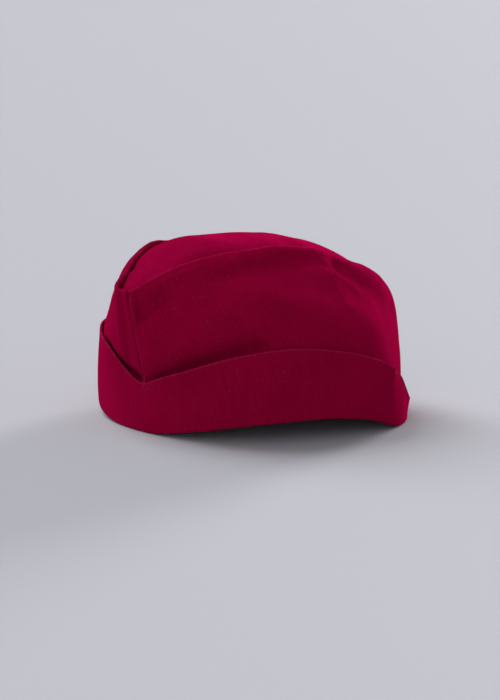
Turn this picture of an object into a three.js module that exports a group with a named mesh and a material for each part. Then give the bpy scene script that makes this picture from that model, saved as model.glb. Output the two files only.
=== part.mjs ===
// A soft cloth cap: a long top panel, two side panels and a turned-up cuff.
// Millimetres, +Z up. The front is -Y, the wearer's left is +X, and the rim rests on Z = 0.
import * as THREE from "three";

// Cloth and seams
const crownCloth = 1.5; // wall of the top and side panels
const cuffCloth = 2; // wall of the cuff, which is two layers of cloth
const seamGap = 0.35; // clearance between the crown and the cuff where they are sewn together
const seamTurn = 0.12; // clearance on each side of the front and back seams, in degrees
const topInset = 1.2; // from the ridge seam's line in to the top panel's edge

// The rim, an oval at the middle of the crown's wall, fuller at its corners
const rimHalfLength = 103;
const rimHalfWidth = 79;
const rimCentre = -1; // the oval's centre along Y
const rimCorner = 0.03; // how much fuller than an oval, halfway between its ends and its sides
const hemRise = 0.02; // the side wall's lower edge, as a share of its rise
const middleShift = 8.6; // brings the middle of the whole length over the origin

// Places round the cap are turns, in degrees from the front: plus on the near side, minus on the far side
const frontSeam = { rimTurn: 10.5, ridgeTurn: 6 };
const backSeamTurn = 180;
const topEnds = { front: 12, back: 170 };

// The rim's arch above the surface, on the near side and on the far side
const rimArch = [
  { turn: 0, near: 0, far: 0 },
  { turn: 10, near: 0, far: 0.2 },
  { turn: 33, near: 6, far: 4 },
  { turn: 51, near: 11.3, far: 10 },
  { turn: 77, near: 14.3, far: 14.3 },
  { turn: 91, near: 12.6, far: 12.6 },
  { turn: 106, near: 7, far: 7 },
  { turn: 117, near: 0, far: 0 },
  { turn: 180, near: 0, far: 0 },
];

// Sections of the side wall, alike on both sides. Each is a curve from the rim to the ridge seam: it leaves
// the rim by stand and lean, and comes to the ridge from a point that is reach outside it and drop below it.
const wallSections = [
  { turn: 0, ridgeX: 0, ridgeY: -122, ridgeZ: 86.5, stand: 29, lean: 2, reach: -6, drop: 29 },
  { turn: 8, ridgeX: 6.5, ridgeY: -121.5, ridgeZ: 86.8, stand: 29, lean: 2, reach: -3, drop: 28 },
  { turn: 20, ridgeX: 11.5, ridgeY: -115.5, ridgeZ: 91.3, stand: 32, lean: 2, reach: 6, drop: 26 },
  { turn: 32, ridgeX: 17.2, ridgeY: -105, ridgeZ: 98.5, stand: 33, lean: 1, reach: 12, drop: 23 },
  { turn: 45, ridgeX: 24.6, ridgeY: -89.5, ridgeZ: 105.6, stand: 35, lean: 0, reach: 18, drop: 19 },
  { turn: 65, ridgeX: 29, ridgeY: -58, ridgeZ: 111.3, stand: 40, lean: 1, reach: 28, drop: 14 },
  { turn: 90, ridgeX: 27.7, ridgeY: -11, ridgeZ: 111.7, stand: 42, lean: 1, reach: 30, drop: 12 },
  { turn: 115, ridgeX: 24.5, ridgeY: 36, ridgeZ: 103, stand: 52, lean: -2, reach: 32, drop: 8 },
  { turn: 140, ridgeX: 17, ridgeY: 74, ridgeZ: 89, stand: 45, lean: -8, reach: 25, drop: 6 },
  { turn: 162, ridgeX: 9, ridgeY: 92, ridgeZ: 79, stand: 40, lean: -7, reach: 16, drop: 10 },
  { turn: 180, ridgeX: 0, ridgeY: 97, ridgeZ: 76, stand: 38, lean: -5, reach: 11, drop: 14 },
];

// Soft folds of the side wall, each along a line between two places. rise goes from 0 at the rim to 1 at the
// ridge, width is where a fold has mostly died away, and depth is outward, or inward if minus.
const wallFolds = [
  { name: "tuck over the near cuff", turn: 14, rise: 0.33, toTurn: 58, toRise: 0.42, width: 9, depth: -3 },
  { name: "dent by the near ridge", turn: 17, rise: 0.82, toTurn: 34, toRise: 0.84, width: 8, depth: -2.5 },
  { name: "groove by the near ridge", turn: 53, rise: 0.84, toTurn: 88, toRise: 0.84, width: 6, depth: -1.8 },
  { name: "swell of the near side", turn: 50, rise: 0.6, toTurn: 70, toRise: 0.66, width: 16, depth: 1.5 },
  { name: "hollow of the near side", turn: 78, rise: 0.72, toTurn: 96, toRise: 0.66, width: 12, depth: -1.5 },
  { name: "near shoulder fold", turn: 105, rise: 0.88, toTurn: 101, toRise: 0.6, width: 6, depth: 2 },
  { name: "valley behind that fold", turn: 111, rise: 0.86, toTurn: 116, toRise: 0.74, width: 7, depth: -3 },
  { name: "corner of the blunt front", turn: -5, rise: 0.96, toTurn: -4, toRise: 0.6, width: 6, depth: 1 },
  { name: "tuck over the far cuff", turn: -14, rise: 0.36, toTurn: -50, toRise: 0.44, width: 9, depth: -2.5 },
  { name: "hollow of the far side", turn: -62, rise: 0.7, toTurn: -98, toRise: 0.64, width: 14, depth: -2 },
  { name: "far shoulder valley", turn: -110, rise: 0.86, toTurn: -118, toRise: 0.68, width: 8, depth: -2.5 },
  { name: "back seam hollow", turn: 160, rise: 0.62, toTurn: 150, toRise: 0.4, width: 10, depth: -1.5 },
];
const turnLength = 1.6; // length along the wall for a degree of turn
const riseLength = 110; // length up the wall for its whole rise

// The top panel below the ridges: sink is its depth at the edges, and puff its swell in the middle
const topSections = [
  { turn: 0, sink: 4, puff: -1 },
  { turn: 32, sink: 4, puff: -1 },
  { turn: 50, sink: 2.4, puff: 0.6 },
  { turn: 70, sink: 1.4, puff: 2.2 },
  { turn: 95, sink: 1.2, puff: 4 },
  { turn: 120, sink: 1.4, puff: 6 },
  { turn: 145, sink: 2, puff: 3.5 },
  { turn: 180, sink: 2, puff: 0 },
];

// The cuff round both sides: its top edge's height above the surface, and how far that edge stands off
const cuffSections = [
  { turn: -180, edge: 17, standOff: 2 },
  { turn: -140, edge: 18, standOff: 3 },
  { turn: -122, edge: 27, standOff: 3 },
  { turn: -104, edge: 46, standOff: 3 },
  { turn: -75, edge: 54, standOff: 0.8 },
  { turn: -50, edge: 54, standOff: 0.8 },
  { turn: -27, edge: 51, standOff: 4.5 },
  { turn: -8, edge: 40, standOff: 5 },
  { turn: 8, edge: 31.4, standOff: 0 },
  { turn: 24, edge: 39.5, standOff: 4 },
  { turn: 50, edge: 54.6, standOff: 5 },
  { turn: 68, edge: 58.8, standOff: 1.5 },
  { turn: 91, edge: 53.4, standOff: 0.3 },
  { turn: 113, edge: 38.5, standOff: 2 },
  { turn: 127, edge: 20, standOff: 3.5 },
  { turn: 180, edge: 17, standOff: 2 },
];
const standOffCurve = 1.5; // above 1 keeps the cuff's lower part close to the crown

// Finish of the cloth, and how finely each piece is divided
const crimson = { color: "#720026", roughness: 0.85, metalness: 0 };
const crimsonTop = { color: "#8d0336", roughness: 0.85, metalness: 0 };
const steps = { wallRound: 46, wallUp: 15, topLong: 40, topAcross: 8, cuffRound: 96, cuffUp: 7 };
const probe = { turn: 0.2, share: 0.001 }; // small steps for reading a direction off a surface
const halvings = 24; // for finding a height on the wall

// The far side's rows are the near side's, turned over.
function bothSides(rows) {
  const far = rows.slice(1).map((row) => ({ ...row, turn: -row.turn, ridgeX: -row.ridgeX }));
  return [...far.reverse(), ...rows];
}

// A smooth reading of a table's columns anywhere round the cap.
function roundReader(rows, columns) {
  const turns = rows.map((row) => row.turn);
  const values = rows.flatMap((row) => columns.map((column) => row[column]));
  const spline = new THREE.CubicInterpolant(turns, values, columns.length);
  spline.settings = { endingStart: THREE.WrapAroundEnding, endingEnd: THREE.WrapAroundEnding };
  return (turn) => {
    const found = spline.evaluate(turn);
    return Object.fromEntries(columns.map((column, index) => [column, found[index]]));
  };
}

const wallColumns = ["ridgeX", "ridgeY", "ridgeZ", "stand", "lean", "reach", "drop"];
const wallAt = roundReader(bothSides(wallSections), wallColumns);
const archAt = roundReader(bothSides(rimArch), ["near", "far"]);
const topAt = roundReader(bothSides(topSections), ["sink", "puff"]);
const cuffAt = roundReader(cuffSections, ["edge", "standOff"]);

// The rim's point at a turn, raised on the rim's arch.
function rimPoint(turn) {
  const angle = THREE.MathUtils.degToRad(turn);
  const full = 1 + rimCorner * Math.sin(2 * angle) ** 2;
  const x = rimHalfWidth * full * Math.sin(angle);
  const y = rimCentre - rimHalfLength * full * Math.cos(angle);
  const arch = archAt(turn);
  return new THREE.Vector3(x, y, Math.max(0, turn > 0 ? arch.near : arch.far));
}

// The level direction straight out of the rim.
function rimOutward(turn) {
  const rim = rimPoint(turn);
  const fromCentre = rim.y - rimCentre;
  return new THREE.Vector3(rim.x / rimHalfWidth ** 2, fromCentre / rimHalfLength ** 2, 0).normalize();
}

// The ridge seam's point at a turn.
function ridgePoint(turn) {
  const { ridgeX, ridgeY, ridgeZ } = wallAt(turn);
  return new THREE.Vector3(ridgeX, ridgeY, ridgeZ);
}

// The direction square to a surface that is given by two numbers.
function squareTo(surface, first, second, step) {
  const along = surface(first + step.first, second).sub(surface(first - step.first, second));
  const up = surface(first, second + step.second).sub(surface(first, second - step.second));
  return along.cross(up).normalize();
}

// The middle of the side wall before its folds.
function plainWall(turn, rise) {
  const { stand, lean, reach, drop } = wallAt(turn);
  const outward = rimOutward(turn);
  const rim = rimPoint(turn);
  const ridge = ridgePoint(turn);
  const low = rim.clone().addScaledVector(outward, lean);
  low.z += stand;
  const high = ridge.clone().addScaledVector(outward, reach);
  high.z -= drop;
  return new THREE.CubicBezierCurve3(rim, low, high, ridge).getPoint(rise);
}

// How far the folds move the side wall at a place.
function foldDepth(turn, rise) {
  const place = new THREE.Vector3(turn * turnLength, rise * riseLength, 0);
  const closest = new THREE.Vector3();
  let depth = 0;
  for (const fold of wallFolds) {
    const start = new THREE.Vector3(fold.turn * turnLength, fold.rise * riseLength, 0);
    const end = new THREE.Vector3(fold.toTurn * turnLength, fold.toRise * riseLength, 0);
    const away = new THREE.Line3(start, end).closestPointToPoint(place, true, closest).distanceTo(place);
    depth += fold.depth * Math.exp(-((away / fold.width) ** 2));
  }
  return depth;
}

const wallProbe = { first: probe.turn, second: probe.share };

// The middle of the side wall with its folds.
function wallPoint(turn, rise) {
  const outward = squareTo(plainWall, turn, rise, wallProbe);
  return plainWall(turn, rise).addScaledVector(outward, foldDepth(turn, rise));
}

// The top panel's edge, square in from the ridge seam.
function topEdge(turn) {
  const along = ridgePoint(turn + probe.turn).sub(ridgePoint(turn - probe.turn));
  const inward = new THREE.Vector3(-along.y, along.x, 0).normalize();
  return ridgePoint(turn).addScaledVector(inward, topInset);
}

// The middle of the top panel: across goes from -1 at the far ridge to 1 at the near one.
function topPoint(across, turn) {
  const edge = topEdge(turn);
  const { sink, puff } = topAt(turn);
  return new THREE.Vector3(across * edge.x, edge.y, edge.z - sink + puff * (1 - across ** 2));
}

// The share of the side wall's rise at which it passes a height.
function riseAtHeight(turn, height) {
  let below = 0;
  let above = 1;
  for (let halving = 0; halving < halvings; halving += 1) {
    const middle = (below + above) / 2;
    if (plainWall(turn, middle).z < height) {
      below = middle;
    } else {
      above = middle;
    }
  }
  return below;
}

// The middle of the cuff, outside the side wall: up goes from 0 at the rim to 1 at the cuff's edge.
function cuffPoint(turn, up) {
  const { edge, standOff } = cuffAt(turn);
  const close = (crownCloth + cuffCloth) / 2 + seamGap;
  const open = Math.max(0, standOff) * up ** standOffCurve;
  return plainWall(turn, up * riseAtHeight(turn, edge)).addScaledVector(rimOutward(turn), close + open);
}

// Moves every corner of a geometry to where a rule puts it.
function reshape(geometry, rule) {
  const corners = geometry.getAttribute("position");
  const corner = new THREE.Vector3();
  for (let index = 0; index < corners.count; index += 1) {
    const moved = rule(corner.fromBufferAttribute(corners, index));
    corners.setXYZ(index, moved.x, moved.y, moved.z);
  }
  geometry.computeVertexNormals();
  return geometry;
}

function clothMesh(name, geometry, finish) {
  const mesh = new THREE.Mesh(geometry, new THREE.MeshStandardMaterial(finish));
  mesh.name = name;
  return mesh;
}

// A side panel is a thin box, bent round from the front seam to the back seam. side is 1 near, -1 far.
function sidePanel(name, side) {
  const box = new THREE.BoxGeometry(1, 1, 1, steps.wallRound, steps.wallUp, 1);
  reshape(box, (corner) => {
    const rise = THREE.MathUtils.lerp(hemRise, 1, corner.y + 0.5);
    const fromFront = 0.5 + side * corner.x;
    const front = THREE.MathUtils.lerp(frontSeam.rimTurn, frontSeam.ridgeTurn, rise) + side * seamTurn;
    const turn = THREE.MathUtils.lerp(front, side * (backSeamTurn - seamTurn), fromFront);
    const outward = squareTo(wallPoint, turn, rise, wallProbe);
    return wallPoint(turn, rise).addScaledVector(outward, corner.z * crownCloth);
  });
  return clothMesh(name, box, crimson);
}

// The top panel is a thin plate, bent along the two ridges.
function topPanel() {
  const plate = new THREE.BoxGeometry(2, 1, 1, steps.topAcross, steps.topLong, 1);
  const topProbe = { first: probe.share, second: probe.turn };
  reshape(plate, (corner) => {
    const turn = THREE.MathUtils.lerp(topEnds.front, topEnds.back, corner.y + 0.5);
    const outward = squareTo(topPoint, corner.x, turn, topProbe);
    return topPoint(corner.x, turn).addScaledVector(outward, corner.z * crownCloth);
  });
  return clothMesh("top_panel", plate, crimsonTop);
}

// The cuff is a ring with a thin upright section, bent round the side wall.
function cuffRing() {
  const ringRadius = 10;
  const section = [];
  for (let step = 0; step <= steps.cuffUp; step += 1) {
    section.push(new THREE.Vector2(ringRadius + 0.5, step / steps.cuffUp));
  }
  for (let step = steps.cuffUp; step >= 0; step -= 1) {
    section.push(new THREE.Vector2(ringRadius - 0.5, step / steps.cuffUp));
  }
  section.push(section[0].clone());
  const ring = new THREE.LatheGeometry(section, steps.cuffRound);
  reshape(ring, (corner) => {
    const turn = THREE.MathUtils.radToDeg(Math.atan2(corner.x, corner.z));
    const through = Math.hypot(corner.x, corner.z) - ringRadius;
    return cuffPoint(turn, corner.y).addScaledVector(rimOutward(turn), through * cuffCloth);
  });
  return clothMesh("cuff", ring, crimson);
}

const cap = new THREE.Group();
cap.position.y = middleShift;
cap.add(topPanel(), sidePanel("side_panel_left", 1), sidePanel("side_panel_right", -1), cuffRing());

export default cap;
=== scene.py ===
import math
import bmesh
import bpy
import numpy as np
from mathutils import Matrix, Vector, noise


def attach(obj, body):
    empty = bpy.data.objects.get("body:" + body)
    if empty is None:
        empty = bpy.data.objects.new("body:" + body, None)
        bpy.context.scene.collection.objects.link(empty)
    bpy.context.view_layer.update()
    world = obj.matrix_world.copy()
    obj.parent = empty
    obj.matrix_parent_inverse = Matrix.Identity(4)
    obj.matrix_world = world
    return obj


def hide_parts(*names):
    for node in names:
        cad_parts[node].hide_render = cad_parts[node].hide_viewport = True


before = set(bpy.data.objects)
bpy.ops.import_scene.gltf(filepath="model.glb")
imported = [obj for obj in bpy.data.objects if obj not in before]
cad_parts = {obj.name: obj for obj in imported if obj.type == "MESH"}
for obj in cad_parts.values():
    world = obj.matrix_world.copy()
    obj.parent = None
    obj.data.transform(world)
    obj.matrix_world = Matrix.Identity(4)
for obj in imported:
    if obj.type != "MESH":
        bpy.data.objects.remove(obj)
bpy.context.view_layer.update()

mm = 0.001

# The cap's own form, close to the solids': millimetres, and degrees of turn from the front.
# The near side, the wearer's left, is plus.
capForm = {
    "rimHalfLength": 103, "rimHalfWidth": 79, "rimCentre": -1, "rimCorner": 0.03,
    "middleShift": 8.6,  # brings the middle of the length over the origin
    "frontSeamRim": 10.5, "frontSeamRidge": 6,
    "turnLength": 1.6, "riseLength": 110,  # cloth length for a degree, and for the whole rise
    "mergeReach": 0.01, "flatEdge": 0.005,  # corners and edges closer than these become one
    "noiseStep": (17.3, 5.1, 9.7),  # how far each seed moves along the noise
}
archTable = {
    "turn": (0, 10, 33, 51, 77, 91, 106, 115, 123, 180),
    "near": (0, 0, 6, 11.3, 14.3, 12.6, 8, 3.4, 0, 0),
    "far": (0, 0.2, 4, 10, 14.3, 12.6, 7, 1.2, 0, 0),
}
wallTable = {
    "turn": (0, 8, 20, 32, 45, 65, 90, 115, 140, 162, 180),
    "ridgeX": (0, 6.5, 11.5, 17.2, 24.6, 29, 27.7, 24.5, 17, 9, 0),
    "ridgeY": (-122, -121.5, -115.5, -105, -89.5, -58, -11, 36, 74, 92, 97),
    "ridgeZ": (86.5, 86.8, 91.3, 98.5, 105.6, 111.3, 111.7, 103, 89, 79, 76),
    "stand": (29, 29, 32, 33, 35, 40, 42, 52, 45, 40, 38),
    "lean": (2, 2, 2, 1, 0, 1, 1, -2, -8, -7, -5),
    "reach": (-6, -3, 6, 12, 18, 28, 30, 32, 25, 16, 11),
    "drop": (29, 28, 26, 23, 19, 14, 12, 8, 6, 10, 14),
}
topTable = {
    "turn": (0, 32, 50, 60, 80, 95, 108, 120, 145, 180),
    "sink": (4, 4, 2.4, 1.9, 1.3, 1.2, 1.3, 1.4, 2, 2),
    "puff": (-1, 0, 4.4, 5.5, 3.5, 4.5, 5.6, 5.5, 3.2, 0),
}
# how far the slack far side lies below the near side, at its ridge and at the top panel's edge
slackTable = {
    "turn": (-180, -135, -105, -64, -54, -50, -44, -27, -14, 0, 180),
    "ridge": (0, 0, 2.4, 2.4, 0.2, 1.2, 3.2, 3, 0, 0, 0),
    "top": (0, 0, 0, 0, 0, 0.4, 1.6, 1.5, 0, 0, 0),
}
cuffTable = {
    "turn": (-180, -140, -122, -104, -75, -55, -44, -36, -28, -20, -14, -8, -2, 4, 8, 24,
             50, 68, 91, 105, 110, 118, 122, 126, 129.5, 132.5, 142, 180),
    "edge": (17, 18, 27, 46, 56, 57.6, 57, 55.8, 54.2, 52.2, 49.4, 44.8, 38.6, 33.7, 31.6, 39.5,
             54.6, 58.8, 54.2, 47.6, 44.5, 37, 33.2, 27, 21.7, 17.2, 13.5, 17),
    "standOff": (2, 3, 3, 3, 0.8, 1.2, 1.8, 1.7, 1.3, 1.2, 1.2, 1.2, 1.1, 0.6, 0, 4,
                 5, 1.5, 0.3, 0.8, 1.2, 2.3, 2.4, 2.5, 2.8, 3.2, 2.6, 2),
}
# folds of the side wall: turn and rise at both ends, width, depth
wallFolds = (
    (14, 0.33, 58, 0.42, 9, -3), (17, 0.82, 34, 0.84, 8, -2.5), (53, 0.84, 88, 0.84, 6, -1.8),
    (50, 0.6, 70, 0.66, 16, 1.5), (78, 0.72, 96, 0.66, 12, -1.5), (105, 0.88, 101, 0.6, 6, 2),
    (111, 0.86, 116, 0.74, 7, -3), (-5, 0.96, -4, 0.6, 6, 1), (-14, 0.36, -50, 0.44, 9, -2.5),
    (-62, 0.7, -98, 0.64, 14, -2), (-110, 0.86, -118, 0.68, 8, -2.5), (160, 0.62, 150, 0.4, 10, -1.5),
)


def bothSides(table):
    # the far side's rows are the near side's, turned over
    both = {}
    for column, values in table.items():
        sign = -1 if column in ("turn", "ridgeX") else 1
        both[column] = tuple(sign * value for value in values[:0:-1]) + tuple(values)
    return both


archRound = bothSides(archTable)
wallRound = bothSides(wallTable)
topRound = bothSides(topTable)


def readRound(table, column, turn):
    # smooth reading of one column anywhere round the cap
    turns = np.array(table["turn"], float)
    values = np.array(table[column], float)
    slopes = np.diff(values) / np.diff(turns)
    backLean = [slopes[0] + slopes[-1]]
    lean = np.concatenate((backLean, slopes[:-1] + slopes[1:], backLean)) / 2
    turn = (np.asarray(turn, float) + 180) % 360 - 180
    row = np.clip(np.searchsorted(turns, turn, side="right") - 1, 0, len(turns) - 2)
    gap = turns[row + 1] - turns[row]
    share = (turn - turns[row]) / gap
    rest = 1 - share
    start = values[row] * (1 + 2 * share) + lean[row] * gap * share
    end = values[row + 1] * (1 + 2 * rest) - lean[row + 1] * gap * rest
    return start * rest ** 2 + end * share ** 2


def stackXyz(x, y, z):
    return np.stack(np.broadcast_arrays(x, y, z), axis=-1).astype(float)


def unit(vectors):
    return vectors / np.maximum(np.linalg.norm(vectors, axis=-1, keepdims=True), 1e-9)


def rimPoint(turn):
    angle = np.radians(turn)
    full = 1 + capForm["rimCorner"] * np.sin(2 * angle) ** 2
    arch = np.where(turn > 0, readRound(archRound, "near", turn), readRound(archRound, "far", turn))
    return stackXyz(capForm["rimHalfWidth"] * full * np.sin(angle),
                    capForm["rimCentre"] - capForm["rimHalfLength"] * full * np.cos(angle),
                    np.maximum(0, arch))


def rimOutward(turn):
    rim = rimPoint(turn)
    return unit(stackXyz(rim[..., 0] / capForm["rimHalfWidth"] ** 2,
                         (rim[..., 1] - capForm["rimCentre"]) / capForm["rimHalfLength"] ** 2, 0))


def ridgePoint(turn):
    return stackXyz(*(readRound(wallRound, column, turn) for column in ("ridgeX", "ridgeY", "ridgeZ")))


def ridgeInward(turn):
    aside = 0.2  # degrees to either side
    along = ridgePoint(turn + aside) - ridgePoint(turn - aside)
    return unit(stackXyz(-along[..., 1], along[..., 0], 0))


def bendThrough(start, low, high, end, share):
    # a curve from start to end that leaves towards low and arrives from high
    rest = 1 - share
    return rest ** 3 * start + 3 * rest ** 2 * share * low + 3 * rest * share ** 2 * high + share ** 3 * end


def plainWall(turn, rise):
    # a curve from the rim to the ridge
    outward, rim, ridge = rimOutward(turn), rimPoint(turn), ridgePoint(turn)
    low = rim + outward * readRound(wallRound, "lean", turn)[..., None]
    low[..., 2] += readRound(wallRound, "stand", turn)
    high = ridge + outward * readRound(wallRound, "reach", turn)[..., None]
    high[..., 2] -= readRound(wallRound, "drop", turn)
    return bendThrough(rim, low, high, ridge, np.asarray(rise, float)[..., None])


def foldDepth(folds, across, up, acrossLength=1, upLength=1):
    # each fold dies away from its own line
    x, y = across * acrossLength, up * upLength
    depth = np.zeros(np.broadcast(x, y).shape)
    for fromAcross, fromUp, toAcross, toUp, width, high in folds:
        startX, startY = fromAcross * acrossLength, fromUp * upLength
        runX, runY = toAcross * acrossLength - startX, toUp * upLength - startY
        share = np.clip(((x - startX) * runX + (y - startY) * runY) / (runX ** 2 + runY ** 2), 0, 1)
        away = np.hypot(x - startX - share * runX, y - startY - share * runY)
        depth += high * np.exp(-(away / width) ** 2)
    return depth


def squareOut(points):
    # the direction square to a grid of points
    return unit(np.cross(np.gradient(points, axis=1), np.gradient(points, axis=0)))


def lengthAlong(points, axis):
    steps = np.linalg.norm(np.diff(points, axis=axis), axis=-1)
    start = np.zeros_like(np.take(steps, [0], axis=axis))
    return np.concatenate((start, np.cumsum(steps, axis=axis)), axis=axis)


def softNoise(points, size, seed):
    # smooth unevenness from -1 to 1 with bumps of about the given size in millimetres
    flat = points.reshape(-1, 3) / size
    away = Vector([seed * step for step in capForm["noiseStep"]])
    values = [noise.noise(Vector(point) + away) for point in flat.tolist()]
    return np.array(values).reshape(points.shape[:-1])


def seamWave(along, away, values, seed):
    # unevenness along a seam, drawn out at right angles to it
    places = np.stack((along, away * values["puckerStretch"], along * 0), axis=-1)
    return softNoise(places, values["puckerPitch"], seed)


def rolledEdge(radius, length, count):
    # how far out and how far in a turned edge lies: a quarter roll, then straight
    quarter = radius * np.pi / 2
    run = np.linspace(0, quarter + length, count + 1)[1:]
    angle = np.minimum(run / radius, np.pi / 2)
    return radius * np.sin(angle), radius * (1 - np.cos(angle)) + np.maximum(0, run - quarter)


def placeMesh(name, bm):
    mesh = bpy.data.meshes.new(name)
    bm.to_mesh(mesh)
    bm.free()
    piece = bpy.data.objects.new(name, mesh)
    bpy.context.scene.collection.objects.link(piece)
    return piece


def layCloth(name, points, cloth, wearAndHighlight, merge=False):
    # a flat grid whose corners are moved to the points; cloth is each corner's place on the flat cloth
    rows, columns = points.shape[:2]
    bm = bmesh.new()
    bmesh.ops.create_grid(bm, x_segments=columns - 1, y_segments=rows - 1, size=0.5)
    clothUv = bm.loops.layers.uv.new("cloth")
    # a float per corner for the paler edges: rubbed wear, and a painted highlight along the lit lips
    wearAndHighlightLayer = bm.verts.layers.float.new("wearAndHighlight")
    places = {}
    for vert in bm.verts:
        row = round((vert.co.y + 0.5) * (rows - 1))
        column = round((vert.co.x + 0.5) * (columns - 1))
        places[vert] = (row, column)
        x, y, z = points[row, column]
        vert[wearAndHighlightLayer] = wearAndHighlight[row, column]
        vert.co = (x * mm, (y + capForm["middleShift"]) * mm, z * mm)
    for face in bm.faces:
        face.smooth = True
        for loop in face.loops:
            loop[clothUv].uv = cloth[places[loop.vert]] * mm
    if merge:
        bmesh.ops.remove_doubles(bm, verts=bm.verts, dist=capForm["mergeReach"] * mm)
        bmesh.ops.dissolve_degenerate(bm, edges=bm.edges, dist=capForm["flatEdge"] * mm)
    return placeMesh(name, bm)


def thicken(piece, thickness):
    wall = piece.modifiers.new("clothWall", "SOLIDIFY")
    wall.thickness = thickness * mm
    wall.offset = 0
    return piece


# Side panels: from the front seam round to the back seam, with the edges turned in at every seam.
sidePanels = {
    "thickness": 1.1,
    "around": 230, "up": 84, "lipRows": 9, "dropRows": 3, "tuckColumns": 6,
    "seamCrowd": 0.55, "ridgeCrowd": 0.4,  # closer columns at the seams and rows at the ridge
    "hemRise": 0.02, "slackCurve": 6,
    "lipWidth": 2.0, "lipRoll": 1.5, "lipSteep": 1.2, "lipDrop": 1.6, "seamDrop": 3.5,
    "seamMargin": 1.65, "tuckRoll": 0.8, "tuckLength": 1.8,
    # the share of the tuck that has room: it grows from the cuff up, and lessens at the ridge and over it
    "cuffRise": 0.09, "cuffFade": 0.06, "ridgeFade": 0.08, "leastRoom": 0.25, "lipRoom": 0.12,
    "pucker": 0.6, "puckerPitch": 7, "puckerReach": 7, "puckerStretch": 0.15,
    "uneven": 0.55, "unevenSize": 30, "fineUneven": 0.12, "fineUnevenSize": 9,
    "ridgeSeed": 3, "unevenSeed": 5, "fineSeed": 6,
    # paler along the ridge lip and the turned ends: partly wear, partly a painted highlight; the far panel
    # gets less of it, a painted shade
    "wearAndHighlightWidth": 0.8, "endWearAndHighlight": 0.15, "farShadeFactor": 0.3,
    "fineFolds": (
        (-4.5, 0.97, -3.5, 0.55, 4, 0.35),  # crease of the blunt front
        (15, 0.79, 31, 0.83, 5, -1.6),  # dent by the near ridge
        (20, 0.93, 48, 0.945, 3, 0.5),
        (44, 0.79, 104, 0.79, 12, -1.4),  # the near side drops steeply from the ridge
        (54, 0.62, 88, 0.62, 12, 0.5),
        (70, 0.9, 110, 0.9, 8, -3), (76, 0.74, 108, 0.7, 20, -2.4), (80, 0.99, 106, 0.99, 4, 0.9),
        (-44, 0.79, -104, 0.79, 12, -1.4),
        # near shoulder, softer than the solid's
        (105, 0.88, 101, 0.6, 6, -1.3), (111, 0.86, 116, 0.74, 7, 2),
        (114, 0.89, 122, 0.72, 12, -1.6), (110, 0.66, 122, 0.6, 22, -4),
        (131, 0.94, 138, 0.89, 9, 1.1), (120, 0.985, 126, 0.96, 5, -0.5),
        (30, 0.5, 52, 0.62, 6, 0.6),
        (17, 0.34, 60, 0.385, 4.5, -4),  # shadow line over the near edge of the cuff
        # the far front swells over the cuff, and sinks beside the front seam
        (-28, 0.39, -50, 0.44, 9, 2.5), (-26, 0.53, -58, 0.39, 8, 1.6),
        (-18, 0.45, 2, 0.36, 7, -5.2), (-24, 0.6, -8, 0.54, 5, 0.8),
        (-20, 0.85, -44, 0.8, 5, -0.8),
        (-105, 0.9, -101, 0.64, 4, 0.9),
        (140, 0.85, 134, 0.55, 6, -0.7), (-142, 0.8, -136, 0.5, 6, -0.8),
    ),
}


def degreeLength(turn, rise):
    # millimetres of wall for one degree, half of it to either side
    return np.linalg.norm(plainWall(turn + 0.5, rise) - plainWall(turn - 0.5, rise), axis=-1)


def panelTurns(rise, side):
    # turns of every column at every rise; margins at both seams leave room for the turned-in edges
    values = sidePanels
    share = np.linspace(0, 1, values["around"] + 1)
    crowd = values["seamCrowd"]
    share = (1 - crowd) * share + crowd * (1 - np.cos(np.pi * share)) / 2
    front = capForm["frontSeamRim"] + (capForm["frontSeamRidge"] - capForm["frontSeamRim"]) * rise
    first = front + side * values["seamMargin"] / degreeLength(front, rise)
    justBefore = np.full_like(rise, 179.49)  # the middle of the last degree before the back seam
    last = side * (180 - values["seamMargin"] / degreeLength(justBefore, rise))
    turns = first[:, None] + (last - first)[:, None] * share[None, :]
    return turns if side > 0 else turns[:, ::-1]


def foldWall(turn, rise):
    points = plainWall(turn, rise)
    for folds in (wallFolds, sidePanels["fineFolds"]):
        depth = foldDepth(folds, turn, rise, capForm["turnLength"], capForm["riseLength"])
        points = points + squareOut(points) * depth[..., None]
    points[..., 2] -= readRound(slackTable, "ridge", turn) * rise ** sidePanels["slackCurve"]
    return points


def rumpleWall(points, seed):
    # unevenness of the cloth, and the pull of the stitches along the seams
    values = sidePanels
    along, upLength = lengthAlong(points, 1), lengthAlong(points, 0)
    fromSeam = np.minimum(along, along[:, -1:] - along)
    fromRidge = upLength[-1:] - upLength
    reach = values["puckerReach"]
    pull = seamWave(upLength, fromSeam, values, seed) * np.exp(-fromSeam / reach)
    pull += seamWave(along, fromRidge, values, seed + values["ridgeSeed"]) * np.exp(-fromRidge / reach)
    move = values["pucker"] * pull
    move += values["uneven"] * softNoise(points, values["unevenSize"], seed + values["unevenSeed"])
    move += values["fineUneven"] * softNoise(points, values["fineUnevenSize"], seed + values["fineSeed"])
    return points + squareOut(points) * move[..., None]


def addRidgeLip(points, turn):
    # over the ridge, and down inside against the top panel
    values = sidePanels
    ridge = points[-1]
    arrive = unit(points[-1] - points[-2])
    foot = ridge + ridgeInward(turn) * values["lipWidth"] - np.array((0, 0, values["lipDrop"]))
    away = ridge + arrive * values["lipRoll"]
    above = foot + np.array((0, 0, values["lipRoll"] * values["lipSteep"]))
    bend = np.linspace(0, 1, values["lipRows"] + 1)[1:, None, None]
    down = np.linspace(0, 1, values["dropRows"] + 1)[1:, None, None]
    drop = foot - down * np.array((0, 0, values["seamDrop"]))
    return np.concatenate((points, bendThrough(ridge, away, above, foot, bend), drop))


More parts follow.
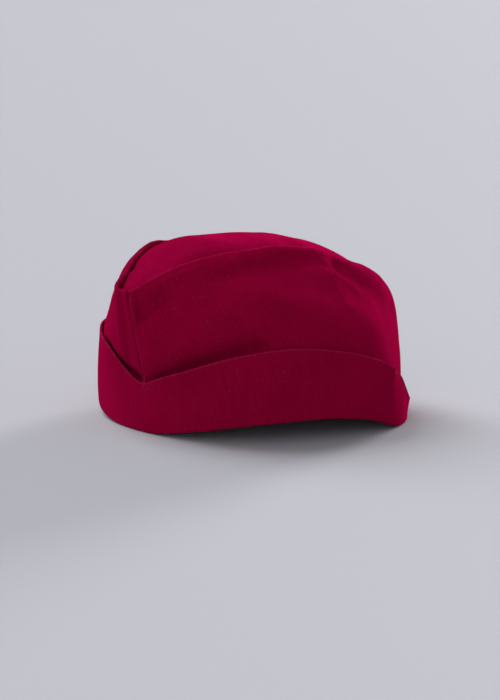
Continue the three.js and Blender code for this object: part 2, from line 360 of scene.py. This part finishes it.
def addEndTucks(points, rise):
    # both end edges turned in, less at the ridge and inside the cuff where there is no room
    values = sidePanels
    normal = squareOut(points)
    out, inward = rolledEdge(values["tuckRoll"], values["tuckLength"], values["tuckColumns"])
    fromCuff = (rise - values["cuffRise"]) / values["cuffFade"]
    room = np.clip(np.minimum((1 - rise) / values["ridgeFade"], fromCuff), values["leastRoom"], 1)
    room = np.concatenate((room, np.full(len(points) - len(rise), values["lipRoom"])))
    inward = (inward[None, :] * room[:, None])[..., None]
    out = out[None, :, None]
    startAway = unit(points[:, :1] - points[:, 1:2])
    endAway = unit(points[:, -1:] - points[:, -2:-1])
    startTuck = points[:, :1] + startAway * out - normal[:, :1] * inward
    endTuck = points[:, -1:] + endAway * out - normal[:, -1:] * inward
    return np.concatenate((startTuck[:, ::-1], points, endTuck), axis=1)


def makeSidePanel(name, side, seed):
    values = sidePanels
    up = np.linspace(0, 1, values["up"] + 1)
    crowd = values["ridgeCrowd"]
    rise = (1 - crowd) * up + crowd * np.sin(np.pi / 2 * up)
    rise = values["hemRise"] + (1 - values["hemRise"]) * rise
    turn = panelTurns(rise, side)
    points = foldWall(turn, np.repeat(rise[:, None], turn.shape[1], axis=1))
    points = rumpleWall(points, seed)
    points = addRidgeLip(points, turn[-1])
    points = addEndTucks(points, rise)

    along, upLength = lengthAlong(points, 1), lengthAlong(points, 0)
    middle = along[len(rise) // 2]
    cloth = np.stack((np.broadcast_to(middle, points.shape[:2]), upLength), axis=-1)
    fromRidge = np.abs(upLength - upLength[len(rise) + values["lipRows"] // 2])
    fromEnds = np.minimum(along, along[:, -1:] - along)
    fromEnds = np.abs(fromEnds - values["tuckLength"] - values["tuckRoll"])
    # the ridge lip and the turned ends go paler: rubbed wear and a painted highlight on the lit lip
    wearAndHighlight = np.exp(-(fromRidge / values["wearAndHighlightWidth"]) ** 2)
    wearAndHighlight += values["endWearAndHighlight"] * np.exp(-(fromEnds / values["wearAndHighlightWidth"]) ** 2)
    # the far panel gets less of it, so its lip reads dark: painted shade
    if side < 0:
        wearAndHighlight = wearAndHighlight * values["farShadeFactor"]
    piece = layCloth(name, points, cloth, wearAndHighlight)
    return thicken(piece, values["thickness"])


leftSidePanel = makeSidePanel("leftSidePanel", 1, 1)
rightSidePanel = makeSidePanel("rightSidePanel", -1, 2)
print("side panels laid")

# Top panel: rings from its turned-down edge in to a line along the middle.
topPanelValues = {
    "thickness": 1.1,
    "around": 380, "inRows": 22, "edgeRows": 8, "edgeCrowd": 0.4,
    "inset": 4.3, "edgeRoll": 1.0, "edgeDrop": 3.2,
    "spineEnds": (25, 155), "swellCurve": 2.6,
    "pucker": 0.4, "puckerPitch": 7, "puckerReach": 5, "puckerStretch": 0.15, "puckerSeed": 8,
    "backFade": 8,  # degrees over which the puckers die away at the back
    "uneven": 0.45, "unevenSize": 24, "unevenSeed": 9,
    # the turned edge row goes paler: partly wear, partly a painted highlight along the seam
    "clothCorner": 200, "edgeWearAndHighlight": 0.5,
    # folds: X and Y at both ends, width, depth
    "folds": (
        (-14, -103, 10, -109, 3, 1.3), (-9, -110, 4, -113, 1.8, 0.6), (-8, -106.5, 6, -111, 2, -0.8),
        (-15, -97, 12, -102, 4, -0.9), (-12, -89, 12, -81, 8, 0.8), (14, -90, 22, -62, 5, 0.7),
        (-14, 2, 16, 10, 5, 0.6), (-10, 20, 14, 30, 6, -0.6),
    ),
}


def makeTopPanel():
    values = topPanelValues
    turn = np.linspace(-180, 180, values["around"] + 1)
    spineTurn = np.clip(np.abs(turn), *values["spineEnds"])
    edge = ridgePoint(turn) + ridgeInward(turn) * values["inset"]
    edge[:, 2] -= readRound(topRound, "sink", turn) + readRound(slackTable, "top", turn)
    spine = ridgePoint(spineTurn)
    spine[:, 0] = 0
    spine[:, 2] += readRound(topRound, "puff", spineTurn) - readRound(topRound, "sink", spineTurn)
    share = np.linspace(0, 1, values["inRows"] + 1)
    crowd = values["edgeCrowd"]
    share = ((1 - crowd) * share + crowd * share ** 2)[:, None]
    points = edge + (spine - edge) * share[..., None]
    swell = 1 - (1 - share) ** values["swellCurve"]
    points[..., 2] = edge[:, 2] + (spine[:, 2] - edge[:, 2]) * swell

    # folds and unevenness are straight up and down, so that both halves meet along the middle
    move = foldDepth(values["folds"], points[..., 0], points[..., 1])
    fromEdge = lengthAlong(points, 0)
    edgeLength = np.broadcast_to(lengthAlong(points, 1)[0], fromEdge.shape)
    wave = seamWave(edgeLength, fromEdge, values, values["puckerSeed"])
    wave *= np.clip((180 - np.abs(turn)) / values["backFade"], 0, 1) * (1 - share)
    move += values["pucker"] * wave * np.exp(-fromEdge / values["puckerReach"])
    flat = points * np.array((1, 1, 0))
    move += values["uneven"] * softNoise(flat, values["unevenSize"], values["unevenSeed"])
    points[..., 2] += move

    # the edge rolls over and down beside the side panels' edges
    out, fall = rolledEdge(values["edgeRoll"], values["edgeDrop"], values["edgeRows"])
    hem = points[0] - ridgeInward(turn) * out[:, None, None] - fall[:, None, None] * np.array((0, 0, 1))
    points = np.concatenate((hem[::-1], points))
    points[:, -1] = points[:, 0]

    cloth = points[..., :2] + values["clothCorner"]
    # the row where the edge turns down goes paler: rubbed wear and a painted highlight along the seam
    wearAndHighlight = np.zeros(points.shape[:2])
    wearAndHighlight[len(hem)] = values["edgeWearAndHighlight"]
    piece = layCloth("topPanel", points, cloth, wearAndHighlight, merge=True)
    return thicken(piece, values["thickness"])


topPanel = makeTopPanel()
print("top panel laid")

# Cuff: a doubled band whose lower edge is turned under the crown's hem, with a stitched upper edge.
cuffValues = {
    "half": 0.75, "close": 2.1, "standOffCurve": 1.5, "tallest": 1.2,
    "around": 470, "seamColumns": 12, "seamTurn": 3,
    "outerRows": {"flap": 6, "fold": 10, "band": 26, "edge": 20, "lip": 10},
    "innerRows": {"edge": 8, "band": 16, "fold": 8, "flap": 6},
    "flapTop": 8, "flapOut": -1.75, "flapThin": 0.7, "foldHigh": 1.75, "foldDeep": 0.85, "foldSquare": 0.7,
    "stillInside": 1, "stillFade": 2,  # the flap inside keeps still when the band opens
    "edgeZone": 5, "lip": 0.12, "lipBelow": 0.8, "lipWidth": 0.7, "innerLip": 0.4,
    "groove": 0.24, "grooveBelow": 1.9, "grooveWidth": 0.45,
    "uneven": 0.5, "unevenSize": 34, "unevenSeed": 12,
    "lowSwells": ((-42, 20, 1.6), (124, 9, 1.3)), "lowCurve": 0.6,
    "backSeam": 0.7, "backSeamWidth": 0.8,
    # paler lip and upper edge: partly rubbed wear, partly a painted highlight on the lit turned lip
    "lipWearAndHighlight": 0.3, "edgeWearAndHighlight": 0.15, "wearAndHighlightBelow": 1.2,
    # upright folds: turn, width in degrees, depth at the upper edge
    "folds": (
        (-62, 5, 0.3), (-48, 4, -0.3), (-30, 4, 0.3), (-84, 6, -0.5),
        (34, 7, 0.7), (108, 4, -0.6), (114, 3, 0.7), (120, 3, -0.4),
        (-112, 4, 0.9), (-120, 4, -0.9), (150, 8, 0.8), (-158, 9, -0.8),
    ),
    "foldCurve": 1.3,
}


def riseAtHeight(turn, height):
    halvings = 24
    below, above = np.zeros_like(turn), np.ones_like(turn)
    for halving in range(halvings):
        middle = (below + above) / 2
        under = plainWall(turn, middle)[..., 2] < height
        below, above = np.where(under, middle, below), np.where(under, above, middle)
    return below


def cuffMeasures(turn):
    edge = readRound(cuffTable, "edge", turn)
    return riseAtHeight(turn, edge), edge - rimPoint(turn)[..., 2]


def cuffPlace(turn, topRise, length, high, out):
    # high is the height up the cuff and out the distance from the crown's wall
    values = cuffValues
    up = np.clip(high / length, 0, values["tallest"])
    opened = np.maximum(0, readRound(cuffTable, "standOff", turn)) * up ** values["standOffCurve"]
    for foldTurn, width, depth in values["folds"]:
        opened = opened + depth * np.exp(-((turn - foldTurn) / width) ** 2) * up ** values["foldCurve"]
    low = np.sin(np.pi * np.clip(up, 0, 1) ** values["lowCurve"])
    for swellTurn, width, swell in values["lowSwells"]:
        opened = opened + swell * np.exp(-((turn - swellTurn) / width) ** 2) * low
    place = plainWall(turn, topRise * high / length)
    uneven = values["uneven"] * softNoise(place, values["unevenSize"], values["unevenSeed"]) * up
    fromSeam = (180 - np.abs(turn)) * capForm["turnLength"]
    seam = values["backSeam"] * np.exp(-(fromSeam / values["backSeamWidth"]) ** 2)
    free = np.clip((out + values["stillInside"]) / values["stillFade"], 0, 1)
    return place + rimOutward(turn) * (out + (opened + uneven - seam) * free)[..., None]


def cuffSection():
    # one loop round the band's section: its place along the centre line, then the side of that line
    values = cuffValues
    outer, inner = values["outerRows"], values["innerRows"]
    zone = values["edgeZone"] - values["half"]
    rows = [("flap", 1 - step / outer["flap"], 1) for step in range(outer["flap"])]
    rows += [("fold", step / outer["fold"], 1) for step in range(outer["fold"])]
    rows += [("band", step / outer["band"], 1) for step in range(outer["band"])]
    rows += [("edge", values["edgeZone"] - zone * step / outer["edge"], 1) for step in range(outer["edge"])]
    rows += [("lip", step / outer["lip"], 0) for step in range(outer["lip"])]
    rows += [("edge", values["half"] + zone * step / inner["edge"], -1) for step in range(inner["edge"])]
    rows += [("band", 1 - step / inner["band"], -1) for step in range(inner["band"])]
    rows += [("fold", 1 - step / inner["fold"], -1) for step in range(inner["fold"])]
    rows += [("flap", step / inner["flap"], -1) for step in range(inner["flap"] + 1)]
    return rows + rows[:1]


def sectionPlace(kind, place, side, length):
    # height and distance out of one row of the section
    values = cuffValues
    half, close, foldHigh = values["half"], values["close"], values["foldHigh"]
    if kind == "flap":
        high = foldHigh + (values["flapTop"] - foldHigh) * place
        out = values["flapOut"] - side * half * values["flapThin"]
    elif kind == "fold":
        angle = math.pi * place
        middle = (close + values["flapOut"]) / 2
        wide = (close - values["flapOut"]) / 2
        edge = half * (values["flapThin"] + (1 - values["flapThin"]) * place)
        acrossFold = math.copysign(abs(math.cos(angle)) ** values["foldSquare"], math.cos(angle))
        downFold = max(0, math.sin(angle)) ** values["foldSquare"]
        out = middle - (wide + side * edge) * acrossFold
        high = foldHigh - (values["foldDeep"] + side * edge) * downFold
    elif kind == "band":
        high = foldHigh + (length - values["edgeZone"] - foldHigh) * place
        out = close + side * half
    elif kind == "edge":
        swell = values["lip"] * math.exp(-((place - values["lipBelow"]) / values["lipWidth"]) ** 2)
        swell -= values["groove"] * math.exp(-((place - values["grooveBelow"]) / values["grooveWidth"]) ** 2)
        high = length - place
        out = close + side * (half + swell * (1 if side > 0 else values["innerLip"]))
    else:
        angle = math.pi * place
        swell = values["lip"] * math.exp(-((half - values["lipBelow"]) / values["lipWidth"]) ** 2)
        swell *= 1 if place < 0.5 else values["innerLip"]
        high = length - half + half * math.sin(angle)
        out = close + (half + swell) * math.cos(angle)
    return high + 0 * length, out + 0 * length


def makeCuff():
    values = cuffValues
    nearSeam = 180 - values["seamTurn"]
    seamColumns = np.linspace(nearSeam, 180, values["seamColumns"] + 1)
    between = np.linspace(-nearSeam, nearSeam, values["around"] + 1)[1:-1]
    turn = np.concatenate((-seamColumns[::-1], between, seamColumns))
    topRise, length = cuffMeasures(turn)
    points, wearAndHighlight = [], []
    for kind, place, side in cuffSection():
        points.append(cuffPlace(turn, topRise, length, *sectionPlace(kind, place, side, length)))
        # the lip and the top of the edge go paler: rubbed wear and a painted highlight on the lit lip
        if kind == "lip":
            wearAndHighlight.append(values["lipWearAndHighlight"])
        else:
            wearAndHighlight.append(values["edgeWearAndHighlight"] if kind == "edge" and place < values["wearAndHighlightBelow"] else 0)
    points = np.array(points)
    wearAndHighlight = np.repeat(np.array(wearAndHighlight)[:, None], len(turn), axis=1)
    along = lengthAlong(points, 1)[len(points) // 3]
    cloth = np.stack((np.broadcast_to(along, points.shape[:2]), lengthAlong(points, 0)), axis=-1)
    return layCloth("turnedCuff", points, cloth, wearAndHighlight, merge=True)


turnedCuff = makeCuff()
print("cuff laid")

# Thread: a row of stitches under the cuff's upper edge, and the tack where the cuff meets the front seam.
threadValues = {
    "around": 8, "ends": 5,  # faces of one stitch
    "pitch": 2.6, "length": 2.0, "width": 0.42, "high": 0.34, "slant": 5, "proud": 0.08, "lineSteps": 1440,
    "tackTurn": 10.6, "tackAbove": 4.0, "tackBelow": 3.2, "tackPitch": 0.42, "tackSlant": 14,
    "tackLength": 1.0, "tackWidth": 0.55, "tackHigh": 0.5,
    "tackOut": 0.65, "tackSunk": 0.5, "tackEase": 0.2,
}


def addStitch(bm, centre, along, out, length, width, high):
    across = out.cross(along).normalized()
    facing = Matrix((along, across, out)).transposed().to_4x4()
    scaled = Matrix.Diagonal((length / 2 * mm, width / 2 * mm, high / 2 * mm, 1))
    laid = Matrix.Translation(centre) @ facing @ scaled @ Matrix.Rotation(math.pi / 2, 4, "Y")
    bmesh.ops.create_uvsphere(bm, u_segments=threadValues["around"], v_segments=threadValues["ends"],
                              radius=1, matrix=laid)


def partFrame(point):
    return Vector((point[0], point[1] + capForm["middleShift"], point[2])) * mm


def finishThread(name, bm):
    for face in bm.faces:
        face.smooth = True
    return placeMesh(name, bm)


def makeCuffStitches():
    values = threadValues
    turn = np.linspace(-180, 180, values["lineSteps"] + 1)
    topRise, length = cuffMeasures(turn)
    out = cuffValues["close"] + cuffValues["half"] - cuffValues["groove"] + values["proud"]
    line = cuffPlace(turn, topRise, length, length - cuffValues["grooveBelow"], out + 0 * turn)
    run = np.concatenate(([0], np.cumsum(np.linalg.norm(np.diff(line, axis=0), axis=1))))
    count = int(run[-1] / values["pitch"])
    places = (np.arange(count) + 0.5) * run[-1] / count
    bm = bmesh.new()
    for place in places:
        ends = [Vector([np.interp(place + step, run, line[:, axis]) for axis in range(3)])
                for step in (-values["length"] / 2, values["length"] / 2)]
        at = float(np.interp(place, run, turn))
        outward = Vector(rimOutward(np.array(at)))
        along = (ends[1] - ends[0]).normalized()
        along.rotate(Matrix.Rotation(math.radians(values["slant"]), 3, outward))
        outward = (outward - along * outward.dot(along)).normalized()
        addStitch(bm, partFrame((ends[0] + ends[1]) / 2), along, outward,
                  values["length"], values["width"], values["high"])
    return finishThread("cuffStitches", bm)


def makeCornerTack():
    # close wraps of thread from the front seam down over the cuff's edge
    values = threadValues
    turn = np.array([values["tackTurn"]])
    topRise, length = cuffMeasures(turn)
    outward = Vector(rimOutward(turn)[0])
    edgeOut = cuffValues["close"] + cuffValues["half"] - values["tackSunk"]
    bm = bmesh.new()
    count = int((values["tackAbove"] + values["tackBelow"]) / values["tackPitch"])
    for wrap in range(count):
        high = values["tackAbove"] - wrap * values["tackPitch"]
        over = min(1, max(0, (values["tackAbove"] - high) / (values["tackAbove"] + values["tackEase"])))
        out = values["tackOut"] + edgeOut * over ** 2
        place = cuffPlace(turn, topRise, length, length + high, np.array([out]))[0]
        along = Vector((0, 0, 1)).cross(outward).normalized()
        along.rotate(Matrix.Rotation(math.radians(values["tackSlant"] * (-1) ** wrap), 3, outward))
        addStitch(bm, partFrame(place), along, outward,
                  values["tackLength"], values["tackWidth"], values["tackHigh"])
    return finishThread("cornerTack", bm)


cuffStitches = makeCuffStitches()
cornerTack = makeCornerTack()
print("thread sewn")

# Cloth and thread finishes
clothLook = {
    "crown": {"dark": (0.17, 0.0002, 0.0145), "light": (0.30, 0.0008, 0.036), "roughness": 0.73},
    "top": {"dark": (0.17, 0.0003, 0.0165), "light": (0.29, 0.001, 0.038), "roughness": 0.71},
    "cuff": {"dark": (0.175, 0.0002, 0.015), "light": (0.305, 0.0008, 0.036), "roughness": 0.75},
    # the pale colour mixed in along the edges: partly rubbed cloth, partly a painted highlight on the lit
    # lips of the seams
    "rubAndHighlight": (0.46, 0.03, 0.12),
    "weavePitch": 0.0007, "weaveHeight": 0.00016, "weaveStrength": 0.9, "slubHeight": 0.6, "streaks": 1.2,
    "toneInDye": 0.64, "weaveInDye": 0.55, "toneInRoughness": 0.1,
    "speckFrom": 0.35, "speckGain": 3, "fleckStrength": 0.2,
    "sheen": 0.26, "sheenRoughness": 0.45, "sheenTint": (1.0, 0.005, 0.15),
}
weaveValues = {"wobbleScale": 260, "wobbleDetail": 1, "wobble": 2.2, "ribShare": 0.7, "threadShare": 0.3}
toneValues = {
    "broadScale": 28, "broadDetail": 3,
    "streakScale": (900, 55, 1), "streakDetail": 2,
    "fleckScale": (1000, 380, 1), "fleckFrom": 0.68, "fleckFull": 0.84,
}
threadLook = {
    "dark": (0.22, 0.001, 0.026), "light": (0.34, 0.004, 0.050), "roughness": 0.7, "shine": 0.05,
    "twistScale": 900, "twistBend": 1.5, "twistStrength": 0.5, "twistHeight": 0.00008,
    "sheen": 0.1, "sheenTint": (1.0, 0.05, 0.18),
}


class NodeDesk:
    # adds and links nodes in a tree, keeping the lines short
    def __init__(self, tree):
        self.tree = tree
        self.count = 0

    def add(self, kind, **settings):
        node = self.tree.nodes.new(kind)
        node.location = (180 * self.count, 0)
        self.count += 1
        for name, value in settings.items():
            setattr(node, name, value)
        return node

    def link(self, source, target):
        self.tree.links.new(source, target)

    def math(self, operation, first, second=None):
        node = self.add("ShaderNodeMath", operation=operation)
        for socket, value in zip(node.inputs, (first, second)):
            if value is None:
                continue
            if isinstance(value, (int, float)):
                socket.default_value = value
            else:
                self.link(value, socket)
        return node.outputs[0]

    def wave(self, turns):
        # a sine from 0 to 1
        return self.math("ADD", self.math("MULTIPLY", self.math("SINE", turns), 0.5), 0.5)

    def noise(self, place, scale, detail):
        node = self.add("ShaderNodeTexNoise")
        node.inputs["Scale"].default_value = scale
        node.inputs["Detail"].default_value = detail
        self.link(place, node.inputs["Vector"])
        return node.outputs["Fac"]

    def stretch(self, place, scale):
        node = self.add("ShaderNodeMapping")
        node.inputs["Scale"].default_value = scale
        self.link(place, node.inputs["Vector"])
        return node.outputs[0]

    def mix(self, factor, dark, light):
        node = self.add("ShaderNodeMix", data_type="RGBA")
        self.link(factor, node.inputs["Factor"])
        for socket, value in ((node.inputs["A"], dark), (node.inputs["B"], light)):
            if isinstance(value, tuple):
                socket.default_value = (*value, 1)
            else:
                self.link(value, socket)
        return node.outputs["Result"]

    def bump(self, height, strength, distance):
        node = self.add("ShaderNodeBump")
        node.inputs["Strength"].default_value = strength
        node.inputs["Distance"].default_value = distance
        self.link(height, node.inputs["Height"])
        return node.outputs[0]


def newGroup(name, inputs, outputs):
    group = bpy.data.node_groups.new(name, "ShaderNodeTree")
    for label, kind, value in inputs:
        socket = group.interface.new_socket(label, in_out="INPUT", socket_type=kind)
        if value is not None:
            socket.default_value = value
    for label in outputs:
        group.interface.new_socket(label, in_out="OUTPUT", socket_type="NodeSocketFloat")
    desk = NodeDesk(group)
    return group, desk, desk.add("NodeGroupInput"), desk.add("NodeGroupOutput")


def makeTwillGroup():
    # fine diagonal ribs crossed by single threads, on the flat cloth's own measure
    values = weaveValues
    group, desk, start, end = newGroup(
        "twillWeave",
        [("Cloth", "NodeSocketVector", None), ("Pitch", "NodeSocketFloat", clothLook["weavePitch"])],
        ["Height"])
    cloth, pitch = start.outputs["Cloth"], start.outputs["Pitch"]
    split = desk.add("ShaderNodeSeparateXYZ")
    desk.link(cloth, split.inputs[0])
    wobble = desk.noise(cloth, values["wobbleScale"], values["wobbleDetail"])
    drift = desk.math("MULTIPLY", wobble, values["wobble"])
    diagonal = desk.math("ADD", split.outputs["X"], split.outputs["Y"])
    ribCount = desk.math("DIVIDE", diagonal, pitch)
    rib = desk.wave(desk.math("ADD", desk.math("MULTIPLY", ribCount, math.tau), drift))
    threadCount = desk.math("DIVIDE", split.outputs["Y"], pitch)
    thread = desk.wave(desk.math("MULTIPLY", threadCount, 2 * math.tau))
    height = desk.math("ADD", desk.math("MULTIPLY", rib, values["ribShare"]),
                       desk.math("MULTIPLY", thread, values["threadShare"]))
    desk.link(height, end.inputs["Height"])
    return group


def makeToneGroup():
    # uneven dye, long faint streaks along the warp, and sparse pale flecks
    values = toneValues
    group, desk, start, end = newGroup(
        "clothTone",
        [("Cloth", "NodeSocketVector", None), ("Streaks", "NodeSocketFloat", clothLook["streaks"])],
        ["Tone", "Slub", "Fleck"])
    cloth = start.outputs["Cloth"]
    place = desk.add("ShaderNodeTexCoord")
    broad = desk.noise(place.outputs["Object"], values["broadScale"], values["broadDetail"])
    streak = desk.noise(desk.stretch(cloth, values["streakScale"]), 1, values["streakDetail"])
    slub = desk.math("MULTIPLY", desk.math("SUBTRACT", streak, 0.5), start.outputs["Streaks"])
    tone = desk.add("ShaderNodeClamp")
    desk.link(desk.math("ADD", broad, slub), tone.inputs[0])
    desk.link(tone.outputs[0], end.inputs["Tone"])
    desk.link(streak, end.inputs["Slub"])
    fleck = desk.add("ShaderNodeMapRange")
    fleck.inputs["From Min"].default_value = values["fleckFrom"]
    fleck.inputs["From Max"].default_value = values["fleckFull"]
    desk.link(desk.noise(desk.stretch(cloth, values["fleckScale"]), 1, 0), fleck.inputs["Value"])
    desk.link(fleck.outputs[0], end.inputs["Fleck"])
    return group


twillGroup = makeTwillGroup()
toneGroup = makeToneGroup()


def placeGroup(desk, group, **values):
    node = desk.add("ShaderNodeGroup")
    node.node_tree = group
    for name, value in values.items():
        if isinstance(value, (int, float)):
            node.inputs[name].default_value = value
        else:
            desk.link(value, node.inputs[name])
    return node


def newMaterial(name):
    material = bpy.data.materials.new(name)
    material.use_nodes = True
    material.node_tree.nodes.clear()
    return material, NodeDesk(material.node_tree)


def makeClothMaterial(name, look):
    values = clothLook
    material, desk = newMaterial(name)
    cloth = desk.add("ShaderNodeUVMap", uv_map="cloth").outputs[0]
    twill = placeGroup(desk, twillGroup, Cloth=cloth, Pitch=values["weavePitch"])
    tone = placeGroup(desk, toneGroup, Cloth=cloth, Streaks=values["streaks"])
    dyeShare = desk.math("ADD", desk.math("MULTIPLY", tone.outputs["Tone"], values["toneInDye"]),
                         desk.math("MULTIPLY", twill.outputs["Height"], values["weaveInDye"]))
    dye = desk.mix(dyeShare, look["dark"], look["light"])

    # paler in specks along the edges, partly rubbed wear and partly a painted highlight on the lit lips; and
    # paler where a fleck lies
    wearAndHighlightNode = desk.add("ShaderNodeAttribute", attribute_name="wearAndHighlight")
    specks = desk.math("SUBTRACT", tone.outputs["Slub"], values["speckFrom"])
    specks = desk.math("MULTIPLY", specks, values["speckGain"])
    rubAndHighlightShare = desk.math("ADD", desk.math("MULTIPLY", wearAndHighlightNode.outputs["Fac"], specks),
                         desk.math("MULTIPLY", tone.outputs["Fleck"], values["fleckStrength"]))
    rubAndHighlight = desk.mix(rubAndHighlightShare, dye, values["rubAndHighlight"])

    slub = desk.math("MULTIPLY", tone.outputs["Slub"], values["slubHeight"])
    height = desk.math("ADD", twill.outputs["Height"], slub)
    rough = desk.math("MULTIPLY", tone.outputs["Tone"], values["toneInRoughness"])
    shader = desk.add("ShaderNodeBsdfPrincipled")
    shader.inputs["Specular IOR Level"].default_value = 0
    shader.inputs["Sheen Weight"].default_value = values["sheen"]
    shader.inputs["Sheen Roughness"].default_value = values["sheenRoughness"]
    shader.inputs["Sheen Tint"].default_value = (*values["sheenTint"], 1)
    desk.link(rubAndHighlight, shader.inputs["Base Color"])
    desk.link(desk.math("ADD", rough, look["roughness"]), shader.inputs["Roughness"])
    desk.link(desk.bump(height, values["weaveStrength"], values["weaveHeight"]), shader.inputs["Normal"])
    desk.link(shader.outputs[0], desk.add("ShaderNodeOutputMaterial").inputs["Surface"])
    return material


def makeThreadMaterial(name):
    values = threadLook
    material, desk = newMaterial(name)
    place = desk.add("ShaderNodeTexCoord")
    twist = desk.add("ShaderNodeTexWave", wave_type="BANDS", bands_direction="DIAGONAL")
    twist.inputs["Scale"].default_value = values["twistScale"]
    twist.inputs["Distortion"].default_value = values["twistBend"]
    desk.link(place.outputs["Object"], twist.inputs["Vector"])
    dye = desk.mix(twist.outputs["Fac"], values["dark"], values["light"])
    bump = desk.bump(twist.outputs["Fac"], values["twistStrength"], values["twistHeight"])
    shader = desk.add("ShaderNodeBsdfPrincipled")
    shader.inputs["Roughness"].default_value = values["roughness"]
    shader.inputs["Specular IOR Level"].default_value = values["shine"]
    shader.inputs["Sheen Weight"].default_value = values["sheen"]
    shader.inputs["Sheen Tint"].default_value = (*values["sheenTint"], 1)
    desk.link(dye, shader.inputs["Base Color"])
    desk.link(bump, shader.inputs["Normal"])
    desk.link(shader.outputs[0], desk.add("ShaderNodeOutputMaterial").inputs["Surface"])
    return material


crownTwill = makeClothMaterial("crownTwill", clothLook["crown"])
topTwill = makeClothMaterial("topTwill", clothLook["top"])
cuffTwill = makeClothMaterial("cuffTwill", clothLook["cuff"])
crimsonThread = makeThreadMaterial("crimsonThread")
for piece, material in ((leftSidePanel, crownTwill), (rightSidePanel, crownTwill),
                        (topPanel, topTwill), (turnedCuff, cuffTwill),
                        (cuffStitches, crimsonThread), (cornerTack, crimsonThread)):
    piece.data.materials.append(material)
print("materials set")

# Every piece moves with the one body, and each cloth piece stands for its own solid.
for piece, node, slotName in ((leftSidePanel, "side_panel_left", "crown_cloth"),
                              (rightSidePanel, "side_panel_right", "crown_cloth"),
                              (topPanel, "top_panel", "crown_cloth"), (turnedCuff, "cuff", "cuff_cloth")):
    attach(piece, "root")
    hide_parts(node)
for piece in (cuffStitches, cornerTack):
    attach(piece, "root")

# Floor, light and camera
studio = {
    "floorSize": 30, "floorColor": (0.440, 0.442, 0.487), "floorRoughness": 0.9, "floorShine": 0.1,
    "worldColor": (0.97, 0.98, 1.0), "worldStrength": 0.33,
    # soft lights: azimuth, elevation, angle across, strength
    "lights": {
        "frontLow": (36, 13, 50, 1.1),
        "farAbove": (286, 50, 45, 2.3),
        "farSide": (-72, 22, 35, 0.35),
        "lowBack": (199, 3.5, 16, 7.8),
    },
    "lightDistance": 2,
}


def towards(azimuth, elevation):
    a, e = math.radians(azimuth), math.radians(elevation)
    return Vector((math.sin(a) * math.cos(e), -math.cos(a) * math.cos(e), math.sin(e)))


def makeFloor():
    bm = bmesh.new()
    bmesh.ops.create_grid(bm, x_segments=2, y_segments=2, size=studio["floorSize"] / 2)
    floor = placeMesh("floor", bm)
    material = bpy.data.materials.new("paleFloor")
    material.use_nodes = True
    shader = material.node_tree.nodes["Principled BSDF"]
    shader.inputs["Base Color"].default_value = (*studio["floorColor"], 1)
    shader.inputs["Roughness"].default_value = studio["floorRoughness"]
    shader.inputs["Specular IOR Level"].default_value = studio["floorShine"]
    floor.data.materials.append(material)


def makeLights():
    world = bpy.data.worlds.new("softRoom")
    world.use_nodes = True
    background = world.node_tree.nodes["Background"]
    background.inputs["Color"].default_value = (*studio["worldColor"], 1)
    background.inputs["Strength"].default_value = studio["worldStrength"]
    bpy.context.scene.world = world
    for name, (azimuth, elevation, across, strength) in studio["lights"].items():
        lamp = bpy.data.lights.new(name, "SUN")
        lamp.energy = strength
        lamp.angle = math.radians(across)
        light = bpy.data.objects.new(name, lamp)
        light.location = towards(azimuth, elevation) * studio["lightDistance"]
        light.rotation_mode = "QUATERNION"
        light.rotation_quaternion = towards(azimuth, elevation).to_track_quat("Z", "Y")
        bpy.context.scene.collection.objects.link(light)


cameraValues = {
    "azimuth": 45, "elevation": 11, "roll": 4.5, "distance": 2.0, "lens": 163.5, "farthest": 50,
    "aim": (0, 0.0086, 0.050), "aside": -0.00767, "below": -0.00925,
}


def makeCamera():
    values = cameraValues
    back = towards(values["azimuth"], values["elevation"])
    level = Vector((0, 0, 1)).cross(back).normalized()
    above = back.cross(level)
    roll = math.radians(values["roll"])
    right = level * math.cos(roll) + above * math.sin(roll)
    up = above * math.cos(roll) - level * math.sin(roll)
    data = bpy.data.cameras.new("camera")
    data.lens = values["lens"]
    data.clip_end = values["farthest"]
    camera = bpy.data.objects.new("camera", data)
    place = Vector(values["aim"]) + back * values["distance"]
    place += right * values["aside"] + up * values["below"]
    camera.matrix_world = Matrix.Translation(place) @ Matrix((right, up, back)).transposed().to_4x4()
    bpy.context.scene.collection.objects.link(camera)
    bpy.context.scene.camera = camera


makeFloor()
makeLights()
makeCamera()
bpy.context.scene.view_settings.view_transform = "Standard"
print("studio set")
